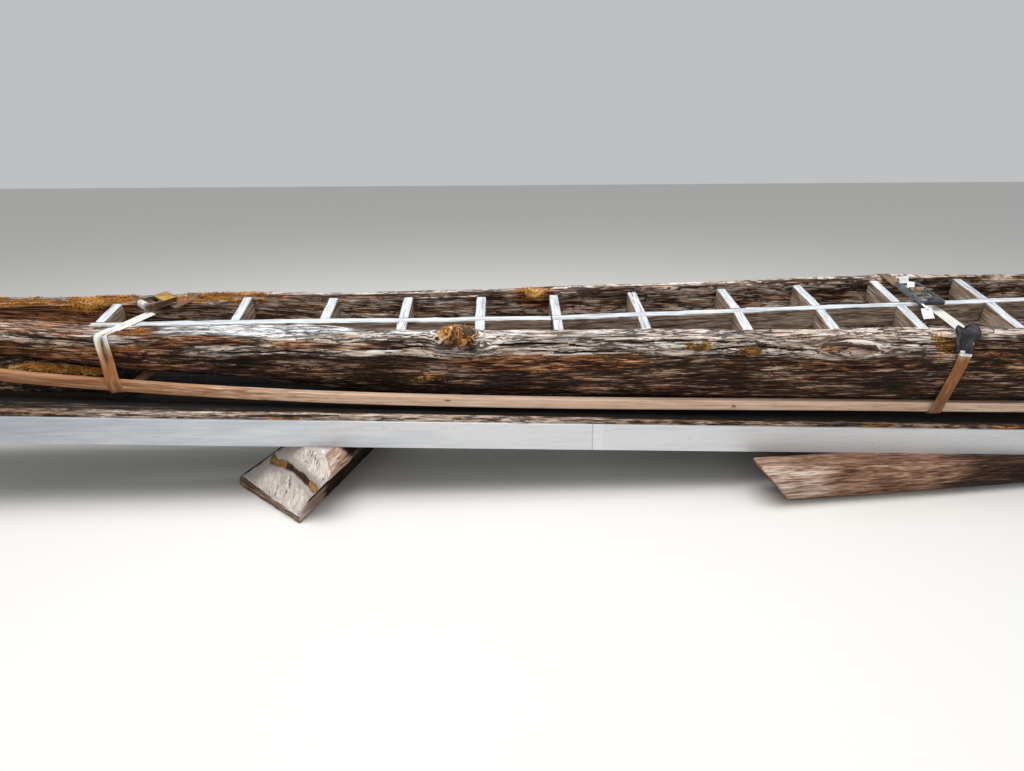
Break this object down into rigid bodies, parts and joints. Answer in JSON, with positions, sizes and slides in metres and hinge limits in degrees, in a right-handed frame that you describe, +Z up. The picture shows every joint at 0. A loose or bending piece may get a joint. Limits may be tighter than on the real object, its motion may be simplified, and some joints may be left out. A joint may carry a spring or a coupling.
{
  "type": "dugout canoe on a cradle",
  "caption": "Weathered dugout canoe carved from one log, with a grid of boards between its sides, strapped with battens on a planked aluminium stage that lies on log blocks",
  "frame": {"origin": "on the ground under the middle of the bounding box", "axes": "+X along the rails toward the stern, +Y away from the side with the long near batten, +Z up"},
  "size_m": [6.1246, 0.9116, 0.7371],
  "materials": {
    "hull_wood": "weathered, cracked and partly mossy bare log",
    "weathered_board": "silver-grey weathered softwood board",
    "clean_batten": "clean planed softwood",
    "deck_board": "damp, splintered and mossy softwood plank",
    "bark_log": "log with bark and golden moss",
    "block_wood": "hewn weathered log",
    "rail_aluminium": "satin extruded, small nicks",
    "strap_webbing": "woven, sun bleached and dirty",
    "ratchet_steel": "dull zinc plate",
    "ratchet_yellow": "yellow passivated zinc plate",
    "ratchet_dark": "dark coated steel",
    "edge_rubber": "matt black folded sheet"
  },
  "bodies": {
    "root": {"hull": "hull_wood", "spine_1": "weathered_board", "spine_2": "weathered_board", "crosspiece_far_01": "weathered_board", "crosspiece_far_02": "weathered_board", "crosspiece_far_03": "weathered_board", "crosspiece_far_04": "weathered_board", "crosspiece_near_04": "weathered_board", "crosspiece_far_05": "weathered_board", "crosspiece_near_05": "weathered_board", "crosspiece_far_06": "weathered_board", "crosspiece_near_06": "weathered_board", "crosspiece_far_07": "weathered_board", "crosspiece_near_07": "weathered_board", "crosspiece_far_08": "weathered_board", "crosspiece_near_08": "weathered_board", "crosspiece_far_09": "weathered_board", "crosspiece_near_09": "weathered_board", "crosspiece_far_10": "weathered_board", "crosspiece_near_10": "weathered_board", "crosspiece_far_11": "weathered_board", "crosspiece_near_11": "weathered_board", "crosspiece_far_12": "weathered_board", "crosspiece_near_12": "weathered_board", "crosspiece_far_13": "weathered_board", "crosspiece_near_13": "weathered_board", "rail_near": "rail_aluminium", "rail_far": "rail_aluminium", "rung_1": "rail_aluminium", "rung_2": "rail_aluminium", "rung_3": "rail_aluminium", "rung_4": "rail_aluminium", "rung_5": "rail_aluminium", "rung_6": "rail_aluminium", "rung_7": "rail_aluminium", "deck_plank_1": "deck_board", "deck_plank_2": "deck_board", "deck_plank_3": "deck_board", "batten_near": "clean_batten", "batten_far": "clean_batten", "chock_1": "weathered_board", "chock_2": "weathered_board", "bow_log": "bark_log", "strap_left": "strap_webbing", "ratchet_left_frame": "ratchet_steel", "ratchet_left_handle": "ratchet_yellow", "ratchet_left_webbing": "strap_webbing", "strap_right": "strap_webbing", "ratchet_right_frame": "ratchet_steel", "ratchet_right_handle": "ratchet_dark", "ratchet_right_webbing": "strap_webbing", "edge_pad": "edge_rubber", "block_left": "block_wood", "block_right_near": "block_wood", "block_right_far": "block_wood"}
  },
  "joints": []
}
